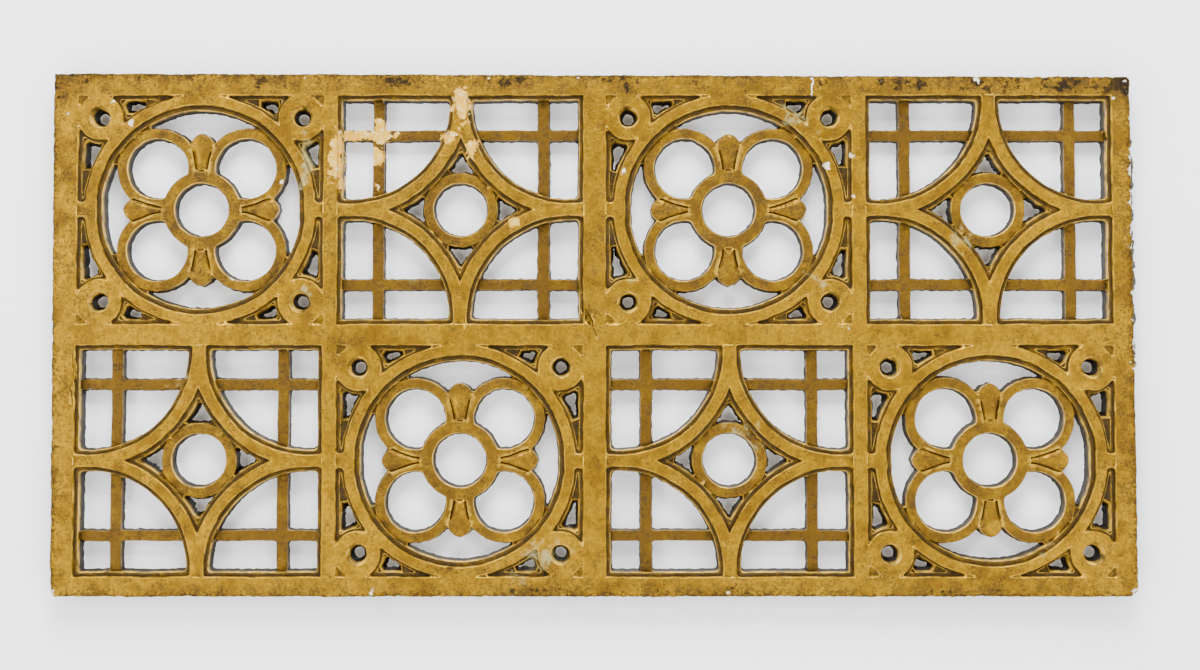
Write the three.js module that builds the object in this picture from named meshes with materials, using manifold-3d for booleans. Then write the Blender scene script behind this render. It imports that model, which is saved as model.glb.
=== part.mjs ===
// A cast plaster ventilation grille of eight pierced panels in two rows, roundels and stars by turns.
// Millimetres. X runs along the grille, Z is up, the carved face looks along -Y and the back is y = 0.
// The origin is on the back, behind the crossing of the middle mullion and the middle rail.

import * as THREE from 'three';
import { mergeVertices } from 'three/addons/utils/BufferGeometryUtils.js';
import Module from 'manifold-3d';

const wasm = await Module();
wasm.setup();

// The frame: panel openings, and the flat bars between and around them
const PANEL_WIDTH = 279.2;
const PANEL_HEIGHT = 260.2;
const MIDDLE_MULLION = 24.8;
const SIDE_MULLION = 15.2;
const MIDDLE_RAIL = 22.8;
const LEFT_MARGIN = 25.4;
const RIGHT_MARGIN = 21.8;
const TOP_MARGIN = 22.4;
const BOTTOM_MARGIN = 21.3;

// The casting is not square: its sides lean, and its two lower corners are worn away
const SIDE_LEAN = 1.4;
const TOP_FALL = 2.0;
const WORN_CORNER = 7;

// The four levels, as thickness and as drops below the flat face
const THICKNESS = 30;
const SHOULDER_DROP = 5;
const TRACERY_DROP = 9;
const LATTICE_DROP = 15;

// The narrow shoulder that follows the edges of the face
const FRAME_SHOULDER = 5;
const RING_INNER_SHOULDER = 6;
const RING_OUTER_SHOULDER = 3.6;
const BOSS_SHOULDER = 3.6;
const ARC_SHOULDER = 5.2;

// A roundel panel: the ring, the necks that tie it to the mullions and the pierced corner bosses
const RING_WIDTH = 11.8;
const RING_BITE = 0.7;
const NECK_HEIGHT = 15;
const BOSS_RADIUS = 25.3;
const BOSS_HOLE_RADIUS = 11.2;
const BOSS_GAP = 0.3;

// Where round edges nearly touch, the groove between them is filled for this far each way
const BOSS_FILL_REACH = 14;
const WEB_FILL_REACH = 11.5;
const FILL_DEPTH = 4.4;

// The tracery inside the ring: four looped lobes, a small ring and a bud on each axis
const LOBE_RADIUS = 45.4;
const LOBE_WIDTH = 12.4;
const LOBE_BITE = 1.2;
const LOBE_FILL_REACH = 16;
const EYE_RADIUS = 43.2;
const EYE_WIDTH = 13.6;
const BUD_LENGTH = 43.5;
const BUD_ROOT_HALF_WIDTH = 6.6;
const BUD_HALF_WIDTH = 13.3;
const BUD_WIDEST_AT = 0.62;
const BUD_TIP_FULLNESS = 0.8;
const BUD_CROWN = 5;
const BUD_CROWN_SHARE = 0.55;

// A star panel: arcs about the corners, which meet in stems at the middle of each side
const ARC_OUTER_RADIUS = 142.6;
const ARC_OUTER_OFFSET_X = 5.9;
const ARC_OUTER_OFFSET_Z = -3.6;
const STEM_HALF_WIDTH_TOP = 7.1;
const STEM_HALF_WIDTH_SIDE = 6.3;
const ARC_INNER_RADIUS = 116.3;

// The small ring and the lattice of a star panel
const STAR_EYE_RADIUS = 42.5;
const STAR_EYE_WIDTH = 13.1;
const STAR_TIE_WIDTH = 24;
const LATTICE_UPRIGHT_OFFSET = 94;
const LATTICE_UPRIGHT_WIDTH = 13.4;
const LATTICE_CROSSBAR_OFFSET = 85;
const LATTICE_CROSSBAR_WIDTH = 12.5;

// Rough plaster that stands out behind the right edge. Its outline is given as steps, each a share of
// the way up and a share of the reach.
const LIP_DEPTH = 7;
const LIP_REACH = 4.5;
const LIP_ROOT = 5;
const LIP_TOP = 236;
const LIP_BOTTOM = -58;
const LIP_STEPS = [[0.08, 0.6], [0.35, 1], [0.62, 0.7], [0.9, 0.9]];

// Sides given to the round edges
const RING_SIDES = 24;
const LOBE_SIDES = 14;
const LOBE_HOLE_SIDES = 12;
const EYE_SIDES = 12;
const BOSS_SIDES = 12;
const BOSS_HOLE_SIDES = 8;
const ARC_SIDES = 24;
const BUD_STATIONS = 4;

// How far a cutter passes the surface that it cuts, and a fill reaches into what it joins
const OVERCUT = 5;

// The whole frame, worked out from the bars and the panels
const COLUMN_X = [
  -MIDDLE_MULLION / 2 - PANEL_WIDTH * 1.5 - SIDE_MULLION,
  -MIDDLE_MULLION / 2 - PANEL_WIDTH / 2,
  MIDDLE_MULLION / 2 + PANEL_WIDTH / 2,
  MIDDLE_MULLION / 2 + PANEL_WIDTH * 1.5 + SIDE_MULLION,
];
const ROW_Z = [
  MIDDLE_RAIL / 2 + PANEL_HEIGHT / 2,
  -MIDDLE_RAIL / 2 - PANEL_HEIGHT / 2,
];
const LEFT_X = COLUMN_X[0] - PANEL_WIDTH / 2 - LEFT_MARGIN;
const RIGHT_X = COLUMN_X[3] + PANEL_WIDTH / 2 + RIGHT_MARGIN;
const TOP_Z = ROW_Z[0] + PANEL_HEIGHT / 2 + TOP_MARGIN;
const BOTTOM_Z = ROW_Z[1] - PANEL_HEIGHT / 2 - BOTTOM_MARGIN;

const SHOULDER_TOP = THICKNESS - SHOULDER_DROP;
const TRACERY_TOP = THICKNESS - TRACERY_DROP;
const LATTICE_TOP = THICKNESS - LATTICE_DROP;

// The ring just bites into the rails; a panel wider than high leaves a gap that the necks cross
const RING_OUTER_RADIUS = Math.min(PANEL_WIDTH, PANEL_HEIGHT) / 2 + RING_BITE;
const RING_INNER_RADIUS = RING_OUTER_RADIUS - RING_WIDTH;
const BOSS_X = PANEL_WIDTH / 2 - BOSS_RADIUS - BOSS_GAP;
const BOSS_Z = PANEL_HEIGHT / 2 - BOSS_RADIUS - BOSS_GAP;
const DIAGONAL = Math.atan2(PANEL_HEIGHT, PANEL_WIDTH);
const LOBE_DISTANCE = RING_INNER_RADIUS - RING_INNER_SHOULDER + LOBE_BITE - LOBE_RADIUS;

// The inner edge of each star arc starts from the half widths of the stems
const ARC_INNER_X = PANEL_WIDTH / 2 - STEM_HALF_WIDTH_TOP - ARC_INNER_RADIUS;
const ARC_INNER_Z = PANEL_HEIGHT / 2 - STEM_HALF_WIDTH_SIDE - ARC_INNER_RADIUS;

// A manifold solid of an extruded outline, from one depth to another, counted from the back.
function raise(shape, from, to) {
  const geometry = new THREE.ExtrudeGeometry(shape, { depth: to - from, bevelEnabled: false });
  geometry.translate(0, 0, from);
  return toSolid(geometry);
}

// Turns a closed geometry, drawn in x and z with its height towards the front, into a solid.
function toSolid(geometry) {
  geometry.rotateX(Math.PI / 2);
  geometry.deleteAttribute('normal');
  geometry.deleteAttribute('uv');
  const merged = mergeVertices(geometry, 1e-5);
  return new wasm.Manifold(new wasm.Mesh({
    numProp: 3,
    vertProperties: new Float32Array(merged.attributes.position.array),
    triVerts: new Uint32Array(merged.index.array),
  }));
}

function polygon(points) {
  return new THREE.Shape(points.map(([x, z]) => new THREE.Vector2(x, z)));
}

function disc(x, z, radius, sides) {
  const points = [];
  for (let i = 0; i < sides; i += 1) {
    const angle = (i / sides) * Math.PI * 2;
    points.push([x + radius * Math.cos(angle), z + radius * Math.sin(angle)]);
  }
  return polygon(points);
}

// A rectangle about a centre, turned by an angle.
function bar(x, z, width, height, angle = 0) {
  const c = Math.cos(angle);
  const s = Math.sin(angle);
  const corners = [[-1, -1], [1, -1], [1, 1], [-1, 1]];
  return polygon(corners.map(([u, v]) => [
    x + (u * width * c - v * height * s) / 2,
    z + (u * width * s + v * height * c) / 2,
  ]));
}

function join(solids) {
  return solids.reduce((all, next) => all.add(next));
}

// A slab larger than the whole grille, used to trim a face flat.
function slab(from, to) {
  return raise(bar(0, 0, 2 * (RIGHT_X - LEFT_X), 2 * (TOP_Z - BOTTOM_Z)), from, to);
}

// Several outlines as one solid with a flat front, which reaches past the back until the last trim.
function level(outlines, top) {
  const rough = join(outlines.map((outline) => raise(outline, -OVERCUT, top + OVERCUT)));
  return rough.subtract(slab(top, top + 2 * OVERCUT));
}

function hole(outline) {
  return raise(outline, -2 * OVERCUT, THICKNESS + OVERCUT);
}

// The flat plate with its worn outline, one rectangular opening to a panel, made smaller by an inset.
function plate(top, inset) {
  const outline = polygon([
    [LEFT_X - SIDE_LEAN, TOP_Z + TOP_FALL],
    [LEFT_X + SIDE_LEAN, BOTTOM_Z + WORN_CORNER],
    [LEFT_X + SIDE_LEAN + WORN_CORNER, BOTTOM_Z],
    [RIGHT_X + SIDE_LEAN - WORN_CORNER, BOTTOM_Z],
    [RIGHT_X + SIDE_LEAN, BOTTOM_Z + WORN_CORNER],
    [RIGHT_X - SIDE_LEAN, TOP_Z - TOP_FALL],
  ]);
  const openings = COLUMN_X.flatMap((x) => ROW_Z.map((z) => hole(
    bar(x, z, PANEL_WIDTH - 2 * inset, PANEL_HEIGHT - 2 * inset),
  )));
  return level([outline], top).subtract(join(openings));
}

// The four corners of a panel, as signs.
const CORNERS = [[1, 1], [-1, 1], [-1, -1], [1, -1]];

// The two levels of a roundel's ring, necks and bosses. At the shoulder every edge is grown, and the
// small sunk corner between each boss and the frame has its floor.
const ROUNDEL_FACE = { top: THICKNESS, inner: 0, outer: 0, boss: 0, cornerFloor: false };
const ROUNDEL_SHOULDER = {
  top: SHOULDER_TOP,
  inner: RING_INNER_SHOULDER,
  outer: RING_OUTER_SHOULDER,
  boss: BOSS_SHOULDER,
  cornerFloor: true,
};

// The ring, the necks and the bosses at one level.
function roundelOrder(x, z, grown) {
  const outlines = [disc(x, z, RING_OUTER_RADIUS + grown.outer, RING_SIDES)];
  const wide = PANEL_WIDTH > PANEL_HEIGHT;
  const neckLength = Math.abs(PANEL_WIDTH - PANEL_HEIGHT) / 2 + RING_WIDTH;
  const neckMiddle = (Math.max(PANEL_WIDTH, PANEL_HEIGHT) / 2 + RING_OUTER_RADIUS) / 2;
  const neckHeight = NECK_HEIGHT + 2 * grown.outer;
  for (const side of [-neckMiddle, neckMiddle]) {
    outlines.push(wide
      ? bar(x + side, z, neckLength, neckHeight)
      : bar(x, z + side, neckHeight, neckLength));
  }
  const distance = Math.hypot(BOSS_X, BOSS_Z);
  const webMiddle = (distance + RING_OUTER_RADIUS - BOSS_RADIUS) / 2;
  const webLength = Math.abs(distance - RING_OUTER_RADIUS - BOSS_RADIUS) + 2 * FILL_DEPTH;
  const fillWidth = FILL_DEPTH + OVERCUT;
  for (const [sx, sz] of CORNERS) {
    outlines.push(disc(x + sx * BOSS_X, z + sz * BOSS_Z, BOSS_RADIUS + grown.boss, BOSS_SIDES));
    const edgeX = x + sx * (PANEL_WIDTH / 2 + (OVERCUT - FILL_DEPTH) / 2);
    const edgeZ = z + sz * (PANEL_HEIGHT / 2 + (OVERCUT - FILL_DEPTH) / 2);
    outlines.push(bar(edgeX, z + sz * BOSS_Z, fillWidth, 2 * BOSS_FILL_REACH));
    outlines.push(bar(x + sx * BOSS_X, edgeZ, 2 * BOSS_FILL_REACH, fillWidth));
    const angle = Math.atan2(sz * BOSS_Z, sx * BOSS_X);
    const webX = x + webMiddle * Math.cos(angle);
    const webZ = z + webMiddle * Math.sin(angle);
    outlines.push(bar(webX, webZ, webLength, 2 * WEB_FILL_REACH, angle));
    if (grown.cornerFloor) {
      outlines.push(bar(
        x + sx * (PANEL_WIDTH / 2 - BOSS_RADIUS / 2),
        z + sz * (PANEL_HEIGHT / 2 - BOSS_RADIUS / 2),
        BOSS_RADIUS + OVERCUT,
        BOSS_RADIUS + OVERCUT,
      ));
    }
  }
  const opening = disc(x, z, RING_INNER_RADIUS - grown.inner, RING_SIDES);
  return level(outlines, grown.top).subtract(hole(opening));
}

// Half the width of a bud at a share of its length: a slow swell from the root, then an ogee tip.
function budHalfWidth(share) {
  if (share < BUD_WIDEST_AT) {
    const swell = (1 - Math.cos((share / BUD_WIDEST_AT) * Math.PI)) / 2;
    return BUD_ROOT_HALF_WIDTH + (BUD_HALF_WIDTH - BUD_ROOT_HALF_WIDTH) * swell;
  }
  const fall = (share - BUD_WIDEST_AT) / (1 - BUD_WIDEST_AT);
  return BUD_HALF_WIDTH * Math.cos((fall * Math.PI) / 2) ** BUD_TIP_FULLNESS;
}

// The outline of a bud along X, from its root inside the eye to its tip.
function budOutline() {
  const right = [[EYE_RADIUS - EYE_WIDTH / 2, -BUD_ROOT_HALF_WIDTH]];
  const left = [[EYE_RADIUS - EYE_WIDTH / 2, BUD_ROOT_HALF_WIDTH]];
  for (let i = 1; i < BUD_STATIONS; i += 1) {
    const share = i / BUD_STATIONS;
    const half = budHalfWidth(share);
    const along = EYE_RADIUS + share * BUD_LENGTH;
    right.push([along, -half]);
    left.unshift([along, half]);
  }
  return polygon([...right, [EYE_RADIUS + BUD_LENGTH, 0], ...left]);
}

// A bud that points away from the roundel's centre, its front edges sloped in to a smaller crown.
function bud(x, z, angle) {
  const crown = new THREE.ExtrudeGeometry(budOutline(), {
    depth: BUD_CROWN,
    bevelEnabled: false,
  });
  const position = crown.attributes.position;
  const middle = EYE_RADIUS + BUD_LENGTH * BUD_WIDEST_AT;
  for (let i = 0; i < position.count; i += 1) {
    if (position.getZ(i) > BUD_CROWN / 2) {
      position.setX(i, middle + (position.getX(i) - middle) * BUD_CROWN_SHARE);
      position.setY(i, position.getY(i) * BUD_CROWN_SHARE);
    }
  }
  crown.translate(0, 0, TRACERY_TOP - BUD_CROWN);
  const stock = new THREE.ExtrudeGeometry(budOutline(), {
    depth: TRACERY_TOP - BUD_CROWN + OVERCUT,
    bevelEnabled: false,
  });
  stock.translate(0, 0, -OVERCUT);
  return join([crown, stock].map((geometry) => {
    geometry.rotateZ(angle);
    geometry.translate(x, z, 0);
    return toSolid(geometry);
  }));
}

// The tracery of a roundel: lobes with round holes, the eye that cuts into them, and the buds.
function tracery(x, z) {
  const lobes = [];
  const holes = [];
  for (const [sx, sz] of CORNERS) {
    const dx = sx * Math.cos(DIAGONAL);
    const dz = sz * Math.sin(DIAGONAL);
    const lobeX = x + LOBE_DISTANCE * dx;
    const lobeZ = z + LOBE_DISTANCE * dz;
    const touch = LOBE_DISTANCE + LOBE_RADIUS;
    const fill = bar(x + touch * dx, z + touch * dz, FILL_DEPTH, 2 * LOBE_FILL_REACH, Math.atan2(dz, dx));
    lobes.push(disc(lobeX, lobeZ, LOBE_RADIUS, LOBE_SIDES), fill);
    holes.push(hole(disc(lobeX, lobeZ, LOBE_RADIUS - LOBE_WIDTH, LOBE_HOLE_SIDES)));
  }
  const eye = disc(x, z, EYE_RADIUS, EYE_SIDES);
  const openings = join(holes).subtract(hole(eye)).add(hole(disc(x, z, EYE_RADIUS - EYE_WIDTH, EYE_SIDES)));
  const buds = [0, 1, 2, 3].map((quarter) => bud(x, z, (quarter * Math.PI) / 2));
  return join([level([...lobes, eye], TRACERY_TOP), ...buds]).subtract(openings);
}

function bossHoles(x, z) {
  return join(CORNERS.map(([sx, sz]) => hole(
    disc(x + sx * BOSS_X, z + sz * BOSS_Z, BOSS_HOLE_RADIUS, BOSS_HOLE_SIDES),
  )));
}

// The arcs of a star at one level: in each quarter, inside the outer edge and outside the inner one.
function starOrder(x, z, top, shoulder) {
  return join(CORNERS.map(([sx, sz]) => {
    const cornerX = x + (sx * PANEL_WIDTH) / 2;
    const cornerZ = z + (sz * PANEL_HEIGHT) / 2;
    const quarter = bar(
      x + (sx * PANEL_WIDTH) / 4,
      z + (sz * PANEL_HEIGHT) / 4,
      PANEL_WIDTH / 2,
      PANEL_HEIGHT / 2,
    );
    const outer = disc(
      cornerX - sx * ARC_OUTER_OFFSET_X,
      cornerZ - sz * ARC_OUTER_OFFSET_Z,
      ARC_OUTER_RADIUS + shoulder,
      ARC_SIDES,
    );
    const inner = disc(
      cornerX - sx * ARC_INNER_X,
      cornerZ - sz * ARC_INNER_Z,
      ARC_INNER_RADIUS - shoulder,
      ARC_SIDES,
    );
    return level([quarter], top).intersect(hole(outer)).subtract(hole(inner));
  }));
}

// The small ring of a star with the ties that join it to the arcs, and the two-way lattice behind.
function starTracery(x, z) {
  const bars = [-1, 1].flatMap((side) => [
    bar(x + side * LATTICE_UPRIGHT_OFFSET, z, LATTICE_UPRIGHT_WIDTH, PANEL_HEIGHT),
    bar(x, z + side * LATTICE_CROSSBAR_OFFSET, PANEL_WIDTH, LATTICE_CROSSBAR_WIDTH),
  ]);
  const centreX = PANEL_WIDTH / 2 - ARC_OUTER_OFFSET_X;
  const centreZ = PANEL_HEIGHT / 2 - ARC_OUTER_OFFSET_Z;
  const tieStart = STAR_EYE_RADIUS - STAR_EYE_WIDTH / 2;
  const tieEnd = Math.hypot(centreX, centreZ) - ARC_OUTER_RADIUS + ARC_SHOULDER;
  const tieMiddle = (tieStart + tieEnd) / 2;
  const ties = CORNERS.map(([sx, sz]) => {
    const angle = Math.atan2(sz * centreZ, sx * centreX);
    const tieX = x + tieMiddle * Math.cos(angle);
    const tieZ = z + tieMiddle * Math.sin(angle);
    return bar(tieX, tieZ, tieEnd - tieStart, STAR_TIE_WIDTH, angle);
  });
  const eye = level([disc(x, z, STAR_EYE_RADIUS, EYE_SIDES), ...ties], TRACERY_TOP);
  return level(bars, LATTICE_TOP).add(eye);
}

function roundelPanel(x, z) {
  return roundelOrder(x, z, ROUNDEL_SHOULDER).add(tracery(x, z));
}

function starPanel(x, z) {
  const eyeHole = disc(x, z, STAR_EYE_RADIUS - STAR_EYE_WIDTH, EYE_SIDES);
  return starOrder(x, z, SHOULDER_TOP, ARC_SHOULDER).add(starTracery(x, z)).subtract(hole(eyeHole));
}

// The rough plaster behind the right edge, thin and uneven.
function backLip() {
  const height = LIP_TOP - LIP_BOTTOM;
  const rim = LIP_STEPS.map(([up, out]) => [RIGHT_X + LIP_REACH * out, LIP_BOTTOM + height * up]);
  const root = RIGHT_X - LIP_ROOT;
  return level([polygon([[root, LIP_BOTTOM], ...rim, [root, LIP_TOP]])], LIP_DEPTH);
}

// The flat face stands on the shoulders as a thin upper layer, and the back is trimmed flat last.
function grille() {
  const faces = [plate(THICKNESS, 0)];
  const lower = [plate(SHOULDER_TOP, FRAME_SHOULDER), backLip()];
  const holes = [];
  COLUMN_X.forEach((x, column) => {
    ROW_Z.forEach((z, row) => {
      if ((column + row) % 2 === 0) {
        faces.push(roundelOrder(x, z, ROUNDEL_FACE));
        lower.push(roundelPanel(x, z));
        holes.push(bossHoles(x, z));
      } else {
        faces.push(starOrder(x, z, THICKNESS, 0));
        lower.push(starPanel(x, z));
      }
    });
  });
  const upper = join(faces).subtract(slab(-2 * OVERCUT, SHOULDER_TOP - SHOULDER_DROP / 2));
  const backTrim = slab(-3 * OVERCUT, 0);
  return join(lower).add(upper).subtract(join(holes)).subtract(backTrim);
}

// Gives a solid back as a mesh geometry.
function toGeometry(solid) {
  const mesh = solid.getMesh();
  const geometry = new THREE.BufferGeometry();
  geometry.setAttribute('position', new THREE.BufferAttribute(new Float32Array(mesh.vertProperties), 3));
  geometry.setIndex(new THREE.BufferAttribute(new Uint32Array(mesh.triVerts), 1));
  geometry.computeVertexNormals();
  return geometry;
}

const gildedPlaster = new THREE.MeshStandardMaterial({ color: 0xb9892f, roughness: 0.5, metalness: 0.35 });

const casting = new THREE.Mesh(toGeometry(grille()), gildedPlaster);
casting.name = 'grille_casting';

const ventilationGrille = new THREE.Group();
ventilationGrille.add(casting);

export default ventilationGrille;
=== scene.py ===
"""A cast plaster ventilation grille, eight pierced panels of roundels and stars under worn bronze-gold paint.

The whole front is one relief surface. Its outline at each height is a level line of signed distance
fields, worked out on a grid; the lines are joined into one triangulated skin and lifted to their heights.
Lengths here are millimetres until the mesh is made. X runs along the grille, Z is up, the front looks
along -Y and the flat back is y = 0.
"""
import math

import bpy
import numpy as np
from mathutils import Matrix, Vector
from mathutils.geometry import delaunay_2d_cdt


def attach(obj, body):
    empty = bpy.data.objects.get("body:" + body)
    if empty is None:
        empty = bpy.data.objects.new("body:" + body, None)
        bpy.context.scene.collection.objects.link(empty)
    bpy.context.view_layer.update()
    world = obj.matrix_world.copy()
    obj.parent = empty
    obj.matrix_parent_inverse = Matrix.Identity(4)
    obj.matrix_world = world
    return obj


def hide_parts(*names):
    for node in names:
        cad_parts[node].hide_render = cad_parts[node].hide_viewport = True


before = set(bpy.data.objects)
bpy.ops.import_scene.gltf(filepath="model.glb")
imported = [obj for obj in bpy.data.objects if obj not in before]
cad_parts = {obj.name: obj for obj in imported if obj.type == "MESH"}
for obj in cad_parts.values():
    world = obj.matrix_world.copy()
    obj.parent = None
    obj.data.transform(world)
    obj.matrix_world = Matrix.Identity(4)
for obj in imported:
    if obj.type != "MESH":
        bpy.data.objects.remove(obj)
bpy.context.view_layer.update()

SCENE = bpy.context.scene

# The frame: centres of the panels, half a panel, and the outline
COLUMNS = np.array([-446.4, -152.0, 152.0, 446.4])
ROWS = np.array([141.5, -141.5])
HALF_WIDTH, HALF_HEIGHT = 139.6, 130.1
LEFT, RIGHT, TOP, BOTTOM = -611.4, 607.8, 294.0, -292.9
SIDE_LEAN, TOP_FALL, WORN_CORNER = 1.4, 2.0, 7.0

# Roundel panels, from their centres: ring, its shoulder, bosses with their holes, lobes, small ring, eye, buds
RING, RING_SHOULDER, NECK, NECK_SHOULDER = (119.0, 129.9), (113.0, 133.2), 7.5, 11.0
BOSS_X, BOSS_Z, BOSS_RADIUS, BOSS_SHOULDER = 114.0, 104.5, 25.3, 28.7
BOSS_HOLE_FRONT, BOSS_HOLE_BACK = 12.0, 6.1
LOBE_X, LOBE_Z, LOBE, LOBE_RING, EYE = 49.95, 46.6, (34.8, 45.4), (20.0, 43.4), 31.0
BUD_ROOT, BUD_TIP_X, BUD_TIP_Z = 46.0, 88.3, 86.4

# Star panels: outer and inner arcs with their shoulders, ring, and lattice bars with half their widths
OUTER_ARC, OUTER_RADIUS, OUTER_SHOULDER = 133.7, 142.6, 147.8
INNER_ARC_X, INNER_ARC_Z, INNER_RADIUS, INNER_SHOULDER = 123.4, 122.6, 116.3, 111.4
STAR_RING = (31.0, 41.6)
UPRIGHT_X, UPRIGHT_HALF, CROSSBAR_Z, CROSSBAR_HALF = 94.0, 6.2, 85.0, 5.8
SHOULDER_WIDTH = 5.0

# Levels of the face, the shoulder, the tracery and the lattice above the back
FACE, SHOULDER, TRACERY, LATTICE = 30.0, 25.0, 21.0, 15.0

# How far the frame stands above the ornament, and the level of the shallow notches behind the corner bosses
FRAME_STEP, NOTCH = 0.6, 28.6

# Field grid, and how closely the level lines are followed
GRID_STEP = 1.0
LINE_ERROR = 0.035
LINE_STEP_MIN, LINE_STEP_MAX = 1.1, 4.6


def wander(x, z, length, seed):
    """Smooth noise of about -1 to 1: a sum of sine waves of random direction and phase, of about one length."""
    rng, waves = np.random.default_rng(seed), 14
    angle = rng.uniform(0, math.tau, waves)
    k = math.tau / (length * rng.uniform(0.6, 1.7, waves))
    phase = rng.uniform(0, math.tau, waves)
    total = np.zeros(np.shape(x))
    for a, w, p in zip(angle, k, phase):
        total = total + np.sin(w * (x * math.cos(a) + z * math.sin(a)) + p)
    return total / math.sqrt(waves / 2) / 1.6


def blended(a, b, reach):
    """Union of two distance fields that fills the crack between them: the lesser, less a quarter of reach
    where both are equal."""
    h = np.clip(reach - np.abs(a - b), 0, None) / reach
    return np.minimum(a, b) - h * h * reach / 4


def box_distance(u, v, half_u, half_v):
    """Signed distance to a rectangle about the origin."""
    du, dv = np.abs(u) - half_u, np.abs(v) - half_v
    return np.hypot(np.clip(du, 0, None), np.clip(dv, 0, None)) + np.minimum(np.maximum(du, dv), 0)


def band(radius, inner, outer):
    """Signed distance to the band between two radii."""
    return np.maximum(radius - outer, inner - radius)


def outline(x, z):
    """Signed distance to the leaning outline with its two worn lower corners."""
    lean = SIDE_LEAN * (z - (TOP + BOTTOM) / 2) / ((TOP - BOTTOM) / 2)
    left, right = LEFT - lean - x, x - RIGHT + lean
    top = z - TOP + TOP_FALL * (x - (LEFT + RIGHT) / 2) / ((RIGHT - LEFT) / 2)
    low = BOTTOM - z
    worn = (np.maximum(LEFT - x, x - RIGHT) + low + WORN_CORNER * 0.7) / math.sqrt(2)
    return np.maximum.reduce([left, right, top, low, worn])


def bud_half_width(along, root_half, tip):
    """Half width of a bud by distance from the roundel's centre: a flat root, a slow swell, then a full
    rounded end that is drawn to a small point."""
    widest, full = tip - 12.5, 12.4
    swell = np.clip((along - BUD_ROOT) / (widest - BUD_ROOT), 0, 1) ** 1.35
    fall = np.clip((along - widest) / (tip - widest), 0, 1)
    end = np.sqrt(np.clip(1 - fall ** 2, 0, None)) * (1 - 0.2 * fall ** 3)
    width = np.where(along < widest, root_half + (full - root_half) * swell, full * end)
    return np.where(along > tip, (tip - along) * 2, width)


def bud_field(u, v):
    """The two buds of a quarter panel, one on each axis: distance past the half width, eased for the
    slope, and past the root."""
    first = np.maximum((v - bud_half_width(u, 2.6, BUD_TIP_X)) * 0.86, BUD_ROOT - u)
    second = np.maximum((u - bud_half_width(v, 6.4, BUD_TIP_Z)) * 0.86, BUD_ROOT - v)
    return np.minimum(first, second)


def fields(x, z):
    """Signed distances, negative inside, to each order of the relief at points x, z."""
    column = np.abs(x[..., None] - COLUMNS).argmin(-1)
    row = (z < 0).astype(int)
    u, v = np.abs(x - COLUMNS[column]), np.abs(z - ROWS[row])
    roundel = (column + row) % 2 == 0
    opening = -box_distance(u, v, HALF_WIDTH, HALF_HEIGHT)
    shoulder_opening = -box_distance(u, v, HALF_WIDTH - SHOULDER_WIDTH, HALF_HEIGHT - SHOULDER_WIDTH)
    radius = np.hypot(u, v)

    # roundel: ring, necks, pierced corner bosses
    boss = np.hypot(u - BOSS_X, v - BOSS_Z)
    face_r = blended(opening, band(radius, *RING), 4.0)
    face_r = blended(face_r, np.maximum(v - NECK, RING[0] - u), 4.0)
    face_r = blended(face_r, boss - BOSS_RADIUS, 5.0)
    shoulder_r = blended(shoulder_opening, band(radius, *RING_SHOULDER), 4.0)
    shoulder_r = blended(shoulder_r, np.maximum(v - NECK_SHOULDER, RING_SHOULDER[0] - u), 4.0)
    shoulder_r = blended(shoulder_r, boss - BOSS_SHOULDER, 5.0)
    shoulder_r = np.minimum(shoulder_r, np.maximum(RING_SHOULDER[0] - u, BOSS_Z - 1.0 - v))

    # roundel tracery: lobe loops, small ring and buds
    lobes = band(np.hypot(u - LOBE_X, v - LOBE_Z), *LOBE)
    tracery_r = blended(lobes, band(radius, *LOBE_RING), 2.5)
    buds = bud_field(u, v)
    tracery_r = blended(tracery_r, buds, 2.5)
    tracery_r = np.maximum(tracery_r, EYE - radius)

    # star: inside the outer arcs and outside the inner ones
    near = np.hypot(u - OUTER_ARC, v - OUTER_ARC)
    far = np.hypot(u - INNER_ARC_X, v - INNER_ARC_Z)
    star = np.maximum(near - OUTER_RADIUS, INNER_RADIUS - far)
    star_shoulder = np.maximum(near - OUTER_SHOULDER, INNER_SHOULDER - far)
    face_s = blended(opening, star, 3.0)
    shoulder_s = blended(shoulder_opening, star_shoulder, 5.0)
    tracery_s = band(radius, *STAR_RING)
    lattice_s = blended(np.abs(u - UPRIGHT_X) - UPRIGHT_HALF, np.abs(v - CROSSBAR_Z) - CROSSBAR_HALF, 2.4)
    lattice_s = np.maximum(lattice_s, box_distance(u, v, HALF_WIDTH - 1, HALF_HEIGHT - 1))

    edge = outline(x, z)
    face_raw = np.where(roundel, face_r, face_s)
    return {
        "face_raw": face_raw,
        "opening": opening,
        "face": np.maximum.reduce([face_raw, np.where(roundel, BOSS_HOLE_FRONT - boss, -99.0), edge]),
        "shoulder": np.where(roundel, shoulder_r, shoulder_s),
        "tracery": np.where(roundel, tracery_r, tracery_s),
        "lattice": np.where(roundel, 99.0, lattice_s),
        "buds": np.where(roundel, buds, 99.0),
        "boss_hole": np.where(roundel, BOSS_HOLE_BACK - boss, -99.0),
        "boss": np.where(roundel, boss, 99.0),
        "spandrel": roundel * (radius > 118) * 1.0,
        "star_gap": ~roundel * (near > OUTER_RADIUS) * (radius > 39) * 1.0,
        "notch": roundel * (u > 115) * (v > 105.5) * 1.0,
        "edge": edge,
    }


# How far each order's wall stands out at the foot, for the drop beside it
FACE_FOOT, SHOULDER_FOOT = 1.15, 0.5
SHOULDER_LATTICE_FOOT, SHOULDER_BACK = 0.95, 2.1
TRACERY_BACK, LATTICE_BACK = 2.3, 1.2
LIP_HEIGHT = 22.0


def lip_reach(x, z):
    """How far the rough bedding plaster stands out behind the right edge: up to 6 mm, ragged, fading out
    at its ends."""
    fade = np.clip((z + 58) / 25, 0, 1) * np.clip((245 - z) / 25, 0, 1)
    ragged = 4.4 + 1.3 * wander(x * 0, z, 22, 31) + 0.9 * wander(x * 0, z, 7, 32)
    return np.clip(ragged, 0.4, 6.2) * fade * (x > 560)


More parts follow.
